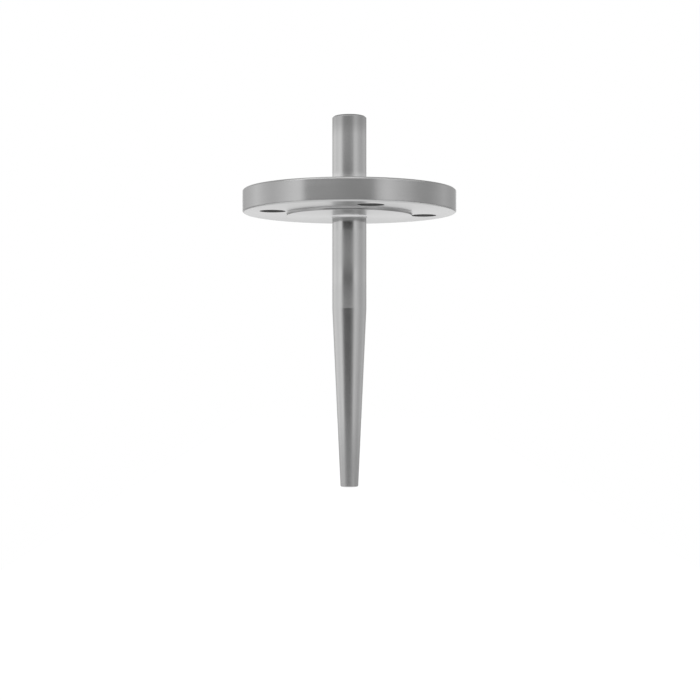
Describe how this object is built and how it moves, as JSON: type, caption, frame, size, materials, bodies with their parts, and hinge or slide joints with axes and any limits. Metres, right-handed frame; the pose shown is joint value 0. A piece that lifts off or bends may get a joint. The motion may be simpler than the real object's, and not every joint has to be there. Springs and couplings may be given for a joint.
{
  "type": "flanged thermowell",
  "caption": "Drilled, tapered steel stem welded through a raised-face pipe flange. It holds a temperature probe inside a pipe or vessel and keeps the fluid out.",
  "frame": {"origin": "centre of the sealing face, where the stem's axis crosses it", "axes": "+Z along the stem's axis from the tip towards the tapped head; the bolt holes straddle X and Y"},
  "size_m": [0.15, 0.15, 0.26],
  "materials": {
    "stem_steel": "fine turned",
    "flange_steel": "smooth turned faces, turned rim",
    "weld_steel": "as welded on the back, dressed under the sealing face"
  },
  "bodies": {
    "root": {"stem": "stem_steel", "flange": "flange_steel", "back_weld": "weld_steel", "face_weld": "weld_steel"}
  },
  "joints": []
}
